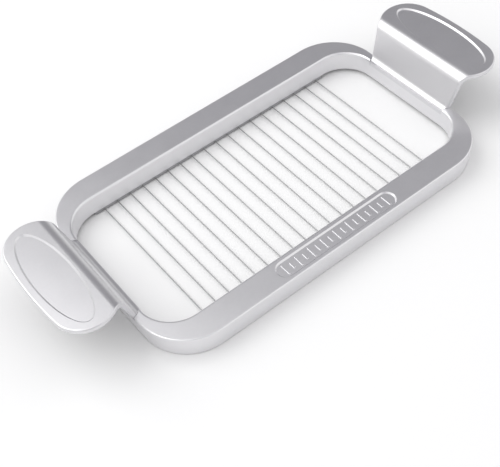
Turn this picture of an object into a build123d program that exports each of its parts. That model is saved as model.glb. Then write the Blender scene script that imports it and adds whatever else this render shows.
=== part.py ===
from build123d import *
import math
import os

# Wire butter slicer, mm. Origin on the table under the middle of the opening, +Z up,
# +X along the frame from thumb plate to thumb plate, the front rail on -Y.

# Cutting wires, evenly spaced along the opening
wire_count = 19
wire_pitch = 6.35
wire_diameter = 0.45
end_space = 19.6

# Frame casting, widest at its flat rim, with an open channel under each long rail
opening_width = 73.0
opening_corner = 14.6
opening_draft = 0.5
side_rail = 11.8
end_rail = 3.9
frame_height = 10.3
frame_corner = 21.6
outer_draft = 4.5
rim_round = 0.5
lip_round = 1.0
roof = 2.2
side_wall = 2.2
channel_overrun = 12.0
end_lip = 1.7
table_edge = 0.3

# Pill recess on the front rail, with plain ticks in line with the wires and between them
pill_length = 59.0
pill_width = 8.0
pill_shift = 0.25
pill_depth = 0.6
tick_width = 0.8
tick_long = 5.0
tick_short = 3.0
tick_height = 0.35

# Thumb plate seen from the side: flat root, bend up, rise, bend out, flat pad
plate = 2.1
root_step = 0.5
rise_angle = 72.6
root_bend = 2.8
pad_bend = 5.4
pad_height = 25.9
pad_reach = 26.8

# Thumb plate seen from above: half widths, round corners, flared neck
root_half = 21.7
root_flare = 26.0
neck_flare = 33.8
pad_half = 28.8
pad_corner = 12.3
pad_corner_end = 6.6
edge_round = 0.6
oval_setback = 10.9
oval_half_length = 25.0
oval_half_width = 8.1
oval_depth = 0.6
oval_slope = 0.7

# Tongue under each thumb plate, in a slot in the end rail
notch_gap = 0.1
tongue = 1.4
tongue_inset = 2.5
tongue_depth = 4.0
tongue_gap = 0.05

# Strips under the long rails, a ledge inside the walls, with a hole through them for each wire
strip_lift = 0.3
strip_thickness = 1.3
strip_ledge = 0.2
strip_overhang = 4.85
strip_corner = 1.5
strip_gap = 0.2
wire_gap = 0.05

# Crimped beads on the wire ends, in pockets in the strips
bead_diameter = 1.6
bead_length = 2.0
bead_setback = 0.2
pocket_gap = 0.1

# Countersunk screws through the strips into bosses, each tied to the channel walls by a web
screw_count = 4
screw_diameter = 2.0
screw_head = 3.8
screw_length = 6.5
screw_gap = 0.05
slot_width = 0.5
slot_depth = 0.4
boss_diameter = 4.4
web = 1.6

# How far a cut runs past what it cuts, and how level or upright a face or edge counts as
overcut = 5.0
tolerance = 0.01

# Sizes that follow from the ones above
wire_span = (wire_count - 1) * wire_pitch
opening_length = wire_span + 2 * end_space
frame_length = opening_length + 2 * end_rail
frame_width = opening_width + 2 * side_rail
strip_length = wire_span + 2 * strip_overhang
channel_length = strip_length + 2 * channel_overrun
foot_height = strip_lift + strip_thickness
foot_inset = frame_height * math.tan(math.radians(outer_draft))
wall_inset = foot_inset + side_wall
wall_foot_y = opening_width / 2 - (frame_height - foot_height) * math.tan(math.radians(opening_draft))
channel_inner_y = opening_width / 2 + side_wall
channel_outer_y = frame_width / 2 - wall_inset
pill_y = (opening_width + side_rail) / 2 + pill_shift
wire_z = strip_lift + strip_thickness / 2
strip_front_y = wall_foot_y - strip_ledge
strip_rear_y = channel_outer_y - strip_gap
bead_front_y = channel_inner_y + bead_setback
bead_rear_y = bead_front_y + bead_length
screw_y = (channel_inner_y + channel_outer_y) / 2
root_x = opening_length / 2
root_z = frame_height - root_step
notch_floor = root_z - plate
tongue_x = root_x + end_rail / 2
tongue_half = root_half - tongue_inset
tip_x = frame_length / 2 + pad_reach
upward = (Align.CENTER, Align.CENTER, Align.MIN)


def block(x0, x1, y0, y1, z0, z1):
    size = Box(x1 - x0, y1 - y0, z1 - z0)
    return Pos((x0 + x1) / 2, (y0 + y1) / 2, (z0 + z1) / 2) * size


def wire_x(index):
    return (index - (wire_count - 1) / 2) * wire_pitch


def at_screws(side, z, shape):
    placed = []
    for number in range(screw_count):
        gap = round(number * (wire_count - 2) / (screw_count - 1))
        x = (wire_x(gap) + wire_x(gap + 1)) / 2
        placed.append(Pos(x, side * screw_y, z) * shape)
    return placed


# Frame

def opening_tool():
    outline = RectangleRounded(opening_length, opening_width, opening_corner)
    top = Pos(0, 0, frame_height) * outline
    well = extrude(top, amount=-(frame_height + overcut), taper=opening_draft)
    return well + extrude(top, amount=overcut)


def frame_blank():
    outline = RectangleRounded(frame_length, frame_width, frame_corner)
    body = extrude(Pos(0, 0, frame_height) * outline, amount=-frame_height, taper=outer_draft)
    body = chamfer(body.edges().group_by(Axis.Z)[0], table_edge)
    body = fillet(body.edges().group_by(Axis.Z)[-1], rim_round)
    body = body - opening_tool()
    rim = body.faces().sort_by(Axis.Z)[-1]
    return fillet(rim.inner_wires()[0].edges(), lip_round)


def channels():
    outer = RectangleRounded(frame_length - 2 * wall_inset, 2 * channel_outer_y, frame_corner - wall_inset)
    inner = RectangleRounded(opening_length + 2 * side_wall, 2 * channel_inner_y, opening_corner + side_wall)
    outline = (outer - inner) & Rectangle(channel_length, frame_width)
    return extrude(outline, amount=frame_height - roof)


def foot_relief():
    length = frame_length - 2 * (foot_inset + end_lip)
    outline = RectangleRounded(length, 2 * channel_inner_y, opening_corner + side_wall)
    return extrude(outline, amount=foot_height)


def bosses():
    height = frame_height - foot_height - roof / 2
    span = channel_outer_y - channel_inner_y + side_wall
    post = Cylinder(boss_diameter / 2, height, align=upward) + Box(web, span, height, align=upward)
    return at_screws(-1, foot_height, post) + at_screws(1, foot_height, post)


def screw_holes():
    hole = Cylinder(screw_diameter / 2 + screw_gap, screw_length + screw_gap, align=upward)
    return at_screws(-1, strip_lift, hole) + at_screws(1, strip_lift, hole)


def pill_recess():
    mouth = SlotOverall(pill_length, pill_width)
    floor = SlotOverall(pill_length - 2 * pill_depth, pill_width - 2 * pill_depth)
    upper = Pos(0, -pill_y, frame_height) * mouth
    lower = Pos(0, -pill_y, frame_height - pill_depth) * floor
    return loft([upper.face(), lower.face()])


def ticks():
    bars = []
    spacing = wire_pitch / 2
    reach = int((pill_length - pill_width) / 2 / spacing)
    floor_z = frame_height - pill_depth
    for step in range(-reach, reach + 1):
        length = tick_short if step % 2 else tick_long
        bar = Box(tick_width, length, 2 * tick_height)
        bars.append(Pos(step * spacing, -pill_y, floor_z) * bar)
    return bars


def end_notches():
    mouth = Pos(0, 0, notch_floor) * extrude(plate_outline(notch_gap), amount=frame_height)
    half = tongue_half + tongue_gap
    reach = tongue / 2 + tongue_gap
    slot_floor = notch_floor - tongue_depth - tongue_gap
    slot = block(tongue_x - reach, tongue_x + reach, -half, half, slot_floor, notch_floor)
    notch = mouth + slot
    return [notch, mirror(notch, about=Plane.YZ)]


def make_frame():
    body = frame_blank() - channels()
    body = body - foot_relief()
    body = body + bosses()
    body = body - screw_holes()
    body = body - pill_recess()
    body = body + ticks()
    return body - end_notches()


# Thumb plates, made for the +X end

def plate_section():
    angle = math.radians(rise_angle)
    inner_x = root_x - overcut / 2
    outer_x = tip_x + overcut
    pad_under = pad_height - plate
    low_x = root_x + root_bend * math.sin(angle)
    low_z = root_z + root_bend * (1 - math.cos(angle))
    high_z = pad_height - pad_bend * (1 - math.cos(angle))
    high_x = low_x + (high_z - low_z) / math.tan(angle)
    pad_x = high_x + pad_bend * math.sin(angle)
    across_x = plate * math.sin(angle)
    across_z = plate * math.cos(angle)
    under_low = (low_x + across_x, low_z - across_z)
    under_high = (high_x + across_x, high_z - across_z)
    with BuildSketch(Plane.XZ) as section:
        with BuildLine():
            Polyline((inner_x, notch_floor), (inner_x, root_z), (root_x, root_z))
            RadiusArc((root_x, root_z), (low_x, low_z), -root_bend)
            Line((low_x, low_z), (high_x, high_z))
            RadiusArc((high_x, high_z), (pad_x, pad_height), pad_bend)
            Polyline((pad_x, pad_height), (outer_x, pad_height), (outer_x, pad_under), (pad_x, pad_under))
            RadiusArc((pad_x, pad_under), under_high, plate - pad_bend)
            Line(under_high, under_low)
            RadiusArc(under_low, (root_x, notch_floor), root_bend + plate)
            Line((root_x, notch_floor), (inner_x, notch_floor))
        make_face()
    return section.sketch


def plate_outline(grow=0):
    start = math.radians(root_flare)
    neck = math.radians(neck_flare)
    end = math.radians(pad_corner_end)
    inner_x = root_x - overcut / 2
    root_y = root_half + grow
    inner_y = root_y - overcut / 2 * math.tan(start)
    corner = pad_corner + grow
    corner_y = pad_half - pad_corner
    end_y = corner_y + corner * math.sin(end)
    tip_radius = end_y / math.sin(end)
    end_x = tip_x + grow - tip_radius * (1 - math.cos(end))
    corner_x = end_x - corner * math.cos(end)
    neck_x = corner_x - corner * math.sin(neck)
    neck_y = corner_y + corner * math.cos(neck)
    with BuildSketch(Plane.XY) as outline:
        with BuildLine():
            for side in (-1, 1):
                leave = (math.cos(start), side * math.sin(start))
                arrive = (math.cos(neck), side * math.sin(neck))
                Polyline((inner_x, 0), (inner_x, side * inner_y), (root_x, side * root_y))
                Spline((root_x, side * root_y), (neck_x, side * neck_y), tangents=[leave, arrive])
                RadiusArc((neck_x, side * neck_y), (end_x, side * end_y), side * corner)
            ThreePointArc((end_x, end_y), (tip_x + grow, 0), (end_x, -end_y))
        make_face()
    return outline.sketch


def is_side(face):
    return abs(face.normal_at().Z) < tolerance and face.center().X > root_x


def is_upright(edge):
    run = edge.bounding_box().size
    return run.X < tolerance and run.Y < tolerance


def rounded_sheet():
    sheet = extrude(plate_section(), amount=frame_width / 2, both=True)
    sheet = sheet & extrude(plate_outline(), amount=pad_height + overcut)
    edges = [edge for face in sheet.faces() if is_side(face) for edge in face.edges()]
    return fillet([edge for edge in edges if not is_upright(edge)], edge_round)


def plate_foot():
    inner_x = root_x - overcut / 2
    foot = block(inner_x, frame_length / 2, -root_half, root_half, notch_floor, root_z)
    start = tongue_x - tongue / 2
    bottom = notch_floor - tongue_depth
    return foot + block(start, start + tongue, -tongue_half, tongue_half, bottom, notch_floor)


def oval_recess():
    middle_x = tip_x - oval_setback
    mouth = Ellipse(oval_half_width, oval_half_length)
    floor = Ellipse(oval_half_width - oval_slope, oval_half_length - oval_slope)
    upper = Pos(middle_x, 0, pad_height) * mouth
    lower = Pos(middle_x, 0, pad_height - oval_depth) * floor
    return loft([upper.face(), lower.face()])


def make_handle(side):
    body = rounded_sheet() + plate_foot()
    body = body - opening_tool()
    body = body - oval_recess()
    if side < 0:
        body = mirror(body, about=Plane.YZ)
    return body


# Wires and what holds them

def make_wire(index):
    rod = Rotation(90, 0, 0) * Cylinder(wire_diameter / 2, 2 * bead_rear_y)
    return Pos(wire_x(index), 0, wire_z) * rod


def make_beads(side):
    beads = []
    middle_y = (bead_front_y + bead_rear_y) / 2
    barrel = Cylinder(bead_diameter / 2, bead_length) - Cylinder(wire_diameter / 2, bead_length)
    for index in range(wire_count):
        beads.append(Pos(wire_x(index), side * middle_y, wire_z) * Rotation(90, 0, 0) * barrel)
    return Compound(children=beads)


def screw_shape(gap):
    cone_height = (screw_head - screw_diameter) / 2
    cone = Cone(screw_head / 2 + gap, screw_diameter / 2 + gap, cone_height, align=upward)
    return cone + Cylinder(screw_diameter / 2 + gap, screw_length, align=upward)


def make_screws(side):
    slot = Box(screw_head, slot_width, slot_depth, align=upward)
    return Compound(children=at_screws(side, strip_lift, screw_shape(0) - slot))


def strip_cuts():
    cuts = []
    pocket = bead_diameter / 2 + pocket_gap
    pocket_rear_y = bead_rear_y + pocket_gap
    hole = Rotation(90, 0, 0) * Cylinder(wire_diameter / 2 + wire_gap, 2 * bead_rear_y)
    for index in range(wire_count):
        x = wire_x(index)
        cuts.append(Pos(x, 0, wire_z) * hole)
        cuts.append(block(x - pocket, x + pocket, bead_front_y, pocket_rear_y, 0, frame_height))
    return cuts


def make_strip(side):
    middle_y = (strip_front_y + strip_rear_y) / 2
    outline = RectangleRounded(strip_length, strip_rear_y - strip_front_y, strip_corner)
    body = Pos(0, middle_y, strip_lift) * extrude(outline, amount=strip_thickness)
    body = body - strip_cuts()
    body = body - at_screws(1, strip_lift, screw_shape(screw_gap))
    if side < 0:
        body = mirror(body, about=Plane.XZ)
    return body


def save(name, shape):
    export_step(shape, os.path.join("parts", name + ".step"))
    print(name, shape.bounding_box())


os.makedirs("parts", exist_ok=True)
save("frame", make_frame())
save("handle_left", make_handle(-1))
save("handle_right", make_handle(1))
for number in range(wire_count):
    save(f"wire_{number + 1:02d}", make_wire(number))
save("wire_beads_back", make_beads(1))
save("wire_beads_front", make_beads(-1))
save("wire_strip_back", make_strip(1))
save("wire_strip_front", make_strip(-1))
save("strip_screws_back", make_screws(1))
save("strip_screws_front", make_screws(-1))
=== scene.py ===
import math

import bpy
from mathutils import Matrix, Vector

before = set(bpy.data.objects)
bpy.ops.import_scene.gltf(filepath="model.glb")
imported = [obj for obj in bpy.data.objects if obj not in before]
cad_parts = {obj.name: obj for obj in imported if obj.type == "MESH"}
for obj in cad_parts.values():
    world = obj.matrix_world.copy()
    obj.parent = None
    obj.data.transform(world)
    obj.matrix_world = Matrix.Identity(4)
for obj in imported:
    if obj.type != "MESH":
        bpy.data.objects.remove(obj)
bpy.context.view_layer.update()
millimetre = 0.001
print("frame loaded,", len(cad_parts), "nodes")


# Shader building: a Flow is a socket that can be used in sums, a Graph makes the nodes

coordinate = {"direction": 0, "normal": 1, "object": 3}
rayKind = {"camera": 0, "glossy": 3, "clear": 6, "bounces": 10}
mixInput = {"amount": 0, "first": 6, "second": 7}
colourOutput = 2
scalarOutput = 1
heightOutput = 2
backfaceOutput = 6


class Flow:
    def __init__(self, graph, socket):
        self.graph = graph
        self.socket = socket

    def combine(self, operation, first, second):
        inputs = {0: first, 1: second}
        return self.graph.node("ShaderNodeMath", {"operation": operation}, inputs)

    def __add__(self, other):
        return self.combine("ADD", self, other)

    def __radd__(self, other):
        return self.combine("ADD", other, self)

    def __sub__(self, other):
        return self.combine("SUBTRACT", self, other)

    def __rsub__(self, other):
        return self.combine("SUBTRACT", other, self)

    def __mul__(self, other):
        return self.combine("MULTIPLY", self, other)

    def __rmul__(self, other):
        return self.combine("MULTIPLY", other, self)


class Graph:
    def __init__(self, owner):
        owner.use_nodes = True
        self.tree = owner.node_tree
        self.tree.nodes.clear()

    def node(self, kind, settings=None, inputs=None, output=0):
        made = self.tree.nodes.new(kind)
        for name, value in (settings or {}).items():
            setattr(made, name, value)
        for name, value in (inputs or {}).items():
            if isinstance(value, Flow):
                self.tree.links.new(value.socket, made.inputs[name])
            else:
                made.inputs[name].default_value = value
        return Flow(self, made.outputs[output]) if made.outputs else None

    def place(self, kind):
        return self.node("ShaderNodeTexCoord", output=coordinate[kind])

    def height(self, vector):
        return self.node("ShaderNodeSeparateXYZ", inputs={0: vector}, output=heightOutput)

    def noise(self, size, detail, stretch=(1, 1, 1)):
        scale = [part / size for part in stretch]
        inputs = {"Vector": self.place("object"), "Scale": scale}
        mapped = self.node("ShaderNodeMapping", inputs=inputs)
        inputs = {"Vector": mapped, "Scale": 1.0, "Detail": detail}
        return self.node("ShaderNodeTexNoise", inputs=inputs)

    def rampTo(self, value, start, end, curve="LINEAR"):
        settings = {"interpolation_type": curve}
        return self.node("ShaderNodeMapRange", settings, {0: value, 1: start, 2: end})

    def clamp(self, value):
        return self.node("ShaderNodeClamp", inputs={"Value": value})

    def mixColour(self, amount, first, second):
        parts = {"amount": amount, "first": first, "second": second}
        inputs = {mixInput[name]: value for name, value in parts.items()}
        return self.node("ShaderNodeMix", {"data_type": "RGBA"}, inputs, colourOutput)


def grey(tone):
    return (tone, tone, tone, 1)


# Metal finishes: sizes in millimetres; each finish also has a colour painted onto steep faces by slope,
# lighter than the flat faces on the frame: painted light on its walls

finishes = {
    "frame": {
        "nodes": ["frame"],
        # The frame's steep-face colour is lighter than its flat colours: painted light on the walls
        "light": (0.80, 0.795, 0.81), "dark": (0.72, 0.715, 0.73), "paintedSteepTone": (0.825, 0.82, 0.835),
        "roughness": 0.305, "roughnessSpread": 0.05, "wallRoughness": 0.2,
        "patchSize": 9.0, "grainSize": 1.1, "grainDepth": 0.004, "stretch": (1, 1, 1),
    },
    "handle": {
        "nodes": ["handle_left", "handle_right"],
        "light": (0.745, 0.74, 0.755), "dark": (0.67, 0.665, 0.68), "paintedSteepTone": (0.74, 0.735, 0.75),
        "roughness": 0.31, "roughnessSpread": 0.05, "wallRoughness": 0.14,
        "patchSize": 8.0, "grainSize": 1.1, "grainDepth": 0.003, "stretch": (1, 1, 1),
    },
    "wire": {
        "nodes": [f"wire_{number:02d}" for number in range(1, 20)],
        "light": (0.43, 0.43, 0.435), "dark": (0.34, 0.34, 0.345), "paintedSteepTone": (0.39, 0.39, 0.395),
        "roughness": 0.38, "roughnessSpread": 0.10, "wallRoughness": 0.0,
        "patchSize": 3.0, "grainSize": 0.12, "grainDepth": 0.002, "stretch": (1, 0.08, 1),
    },
    "strip": {
        "nodes": ["wire_strip_back", "wire_strip_front"],
        "light": (0.44, 0.44, 0.45), "dark": (0.34, 0.34, 0.35), "paintedSteepTone": (0.40, 0.40, 0.41),
        "roughness": 0.34, "roughnessSpread": 0.10, "wallRoughness": 0.0,
        "patchSize": 7.0, "grainSize": 0.18, "grainDepth": 0.004, "stretch": (0.03, 1, 1),
    },
    "bead": {
        "nodes": ["wire_beads_back", "wire_beads_front"],
        "light": (0.45, 0.45, 0.46), "dark": (0.30, 0.30, 0.31), "paintedSteepTone": (0.38, 0.38, 0.39),
        "roughness": 0.42, "roughnessSpread": 0.12, "wallRoughness": 0.0,
        "patchSize": 1.2, "grainSize": 0.15, "grainDepth": 0.006, "stretch": (1, 1, 1),
    },
    "screw": {
        "nodes": ["strip_screws_back", "strip_screws_front"],
        "light": (0.55, 0.55, 0.56), "dark": (0.42, 0.42, 0.43), "paintedSteepTone": (0.50, 0.50, 0.51),
        "roughness": 0.35, "roughnessSpread": 0.12, "wallRoughness": 0.0,
        "patchSize": 2.0, "grainSize": 0.12, "grainDepth": 0.004, "stretch": (1, 1, 1),
    },
}

# How patches and grain mix, and which slopes count as steep and as level
blend = {
    "patchShare": 0.6, "grainShare": 0.4, "patchDetail": 3.0, "grainDetail": 2.0,
    "steep": 0.2, "level": 0.7,
}


def makeMetal(name, look):
    material = bpy.data.materials.new(name + "Metal")
    graph = Graph(material)
    patches = graph.noise(look["patchSize"] * millimetre, blend["patchDetail"])
    grain = graph.noise(look["grainSize"] * millimetre, blend["grainDetail"], look["stretch"])
    tone = blend["patchShare"] * patches + blend["grainShare"] * grain
    level = graph.rampTo(graph.height(graph.place("normal")), blend["steep"], blend["level"])
    colour = graph.mixColour(tone, (*look["dark"], 1), (*look["light"], 1))
    # Steep faces take the painted slope colour: painted light on the frame's walls, an even tone on the
    # other pieces
    colour = graph.mixColour(level, (*look["paintedSteepTone"], 1), colour)
    spread = look["roughnessSpread"]
    smoothest = look["roughness"] - spread / 2
    roughness = tone * spread + smoothest + (1 - level) * look["wallRoughness"]
    distance = look["grainDepth"] * millimetre
    bump = graph.node("ShaderNodeBump", inputs={"Height": grain, "Distance": distance})
    inputs = {"Base Color": colour, "Metallic": 1.0, "Roughness": roughness, "Normal": bump}
    surface = graph.node("ShaderNodeBsdfPrincipled", inputs=inputs)
    graph.node("ShaderNodeOutputMaterial", inputs={"Surface": surface})
    return material


for name, look in finishes.items():
    metal = makeMetal(name, look)
    for node in look["nodes"]:
        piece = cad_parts[node]
        piece.data.materials.clear()
        piece.data.materials.append(metal)
print("metals applied to", sum(len(look["nodes"]) for look in finishes.values()), "nodes")


# Studio, in metres and degrees: azimuth runs from +Y toward +X

studio = {
    "floorSize": 2.0, "floorDrop": 0.00005, "floorTone": 0.25, "floorSeen": 1.0,
    "fadeStart": 0.26, "fadeEnd": 0.6,
    "skyLight": 0.88, "brightTone": 1.10, "darkTint": (0.985, 0.975, 1.035),
    "lowTone": 0.8, "lowTop": 22.0, "lowBottom": 6.0,
    "boxAzimuth": -41.0, "boxElevation": 53.0, "boxDistance": 1.3, "boxSize": 1.15, "boxPower": 5.8,
}

# Darker patches of sky, for the flat metal to reflect from the photo's side, the back and the top
darkPatches = [
    {"azimuth": 39.4, "elevation": 28.5, "inner": 24.0, "outer": 38.0, "tone": 0.355},
    {"azimuth": -160.0, "elevation": 36.0, "inner": 8.0, "outer": 28.0, "tone": 0.6},
    {"azimuth": 0.0, "elevation": 90.0, "inner": 4.0, "outer": 24.0, "tone": 0.6},
]


def aim(azimuth, elevation):
    side, rise = math.radians(azimuth), math.radians(elevation)
    return Vector((math.sin(side) * math.cos(rise), math.cos(side) * math.cos(rise), math.sin(rise)))


def backgroundRays(graph):
    rays = {name: graph.node("ShaderNodeLightPath", output=socket) for name, socket in rayKind.items()}
    return graph.clamp(rays["camera"] + rays["glossy"] + rays["clear"] - rays["bounces"])


def makeFloor():
    bpy.ops.mesh.primitive_plane_add(size=studio["floorSize"])
    floor = bpy.context.object
    floor.name = "floor"
    floor.location.z = -studio["floorDrop"]
    material = bpy.data.materials.new("paleFloor")
    graph = Graph(material)
    colour = graph.mixColour(backgroundRays(graph), grey(studio["floorTone"]), grey(studio["floorSeen"]))
    matte = graph.node("ShaderNodeBsdfDiffuse", inputs={"Color": colour})
    clear = graph.node("ShaderNodeBsdfTransparent")
    below = graph.node("ShaderNodeNewGeometry", output=backfaceOutput)
    measure = {"operation": "LENGTH"}
    away = graph.node("ShaderNodeVectorMath", measure, {0: graph.place("object")}, scalarOutput)
    fade = graph.rampTo(away, studio["fadeStart"], studio["fadeEnd"], "SMOOTHSTEP")
    hidden = graph.clamp(below + fade)
    surface = graph.node("ShaderNodeMixShader", inputs={0: hidden, 1: matte, 2: clear})
    graph.node("ShaderNodeOutputMaterial", inputs={"Surface": surface})
    floor.data.materials.append(material)


def addPatch(graph, direction, around, patch):
    inputs = {0: direction, 1: tuple(aim(patch["azimuth"], patch["elevation"]))}
    near = graph.node("ShaderNodeVectorMath", {"operation": "DOT_PRODUCT"}, inputs, scalarOutput)
    outer, inner = (math.cos(math.radians(patch[name])) for name in ("outer", "inner"))
    inside = graph.rampTo(near, outer, inner, "SMOOTHSTEP")
    shade = [patch["tone"] * part for part in studio["darkTint"]]
    return graph.mixColour(inside, around, (*shade, 1))


def makeSky():
    world = bpy.data.worlds.new("softSky")
    bpy.context.scene.world = world
    graph = Graph(world)
    direction = graph.place("direction")
    around = grey(studio["brightTone"])
    for patch in darkPatches:
        around = addPatch(graph, direction, around, patch)
    top, bottom = (math.sin(math.radians(studio[name])) for name in ("lowTop", "lowBottom"))
    band = graph.rampTo(graph.height(direction), top, bottom, "SMOOTHSTEP")
    around = graph.mixColour(band, around, grey(studio["lowTone"]))
    camera = graph.node("ShaderNodeLightPath", output=rayKind["camera"])
    colour = graph.mixColour(camera, around, grey(1))
    light = studio["skyLight"]
    strength = backgroundRays(graph) * (1 - light) + light
    surface = graph.node("ShaderNodeBackground", inputs={"Color": colour, "Strength": strength})
    graph.node("ShaderNodeOutputWorld", inputs={"Surface": surface})


def makeSoftbox():
    back = aim(studio["boxAzimuth"], studio["boxElevation"])
    bpy.ops.object.light_add(type="AREA", location=back * studio["boxDistance"])
    lamp = bpy.context.object
    lamp.name = "softbox"
    lamp.rotation_euler = back.to_track_quat("Z", "Y").to_euler()
    lamp.data.size = studio["boxSize"]
    lamp.data.energy = studio["boxPower"]
    lamp.visible_camera = False


makeFloor()
makeSky()
makeSoftbox()
print("studio ready")


# Camera, at the photograph's viewing angle: azimuth runs from -Y toward +X

shot = {
    "azimuth": -33.197, "elevation": 50.463, "roll": -6.679,
    "distance": 0.3722, "target": (-0.02027, -0.0135, 0.0),
    "lens": 67.468, "sensor": 36.0, "nearest": 0.01,
}


def makeCamera():
    side, rise, turn = (math.radians(shot[name]) for name in ("azimuth", "elevation", "roll"))
    back = Vector((math.sin(side) * math.cos(rise), -math.cos(side) * math.cos(rise), math.sin(rise)))
    right = Vector((0, 0, 1)).cross(back).normalized()
    up = back.cross(right)
    across = right * math.cos(turn) + up * math.sin(turn)
    upward = up * math.cos(turn) - right * math.sin(turn)
    place = Vector(shot["target"]) + back * shot["distance"]
    bpy.ops.object.camera_add()
    camera = bpy.context.object
    axes = Matrix((across, upward, back)).transposed()
    camera.matrix_world = Matrix.Translation(place) @ axes.to_4x4()
    camera.data.lens = shot["lens"]
    camera.data.sensor_width = shot["sensor"]
    camera.data.clip_start = shot["nearest"]
    bpy.context.scene.camera = camera


makeCamera()
bpy.context.scene.view_settings.view_transform = "Standard"
print("camera ready")
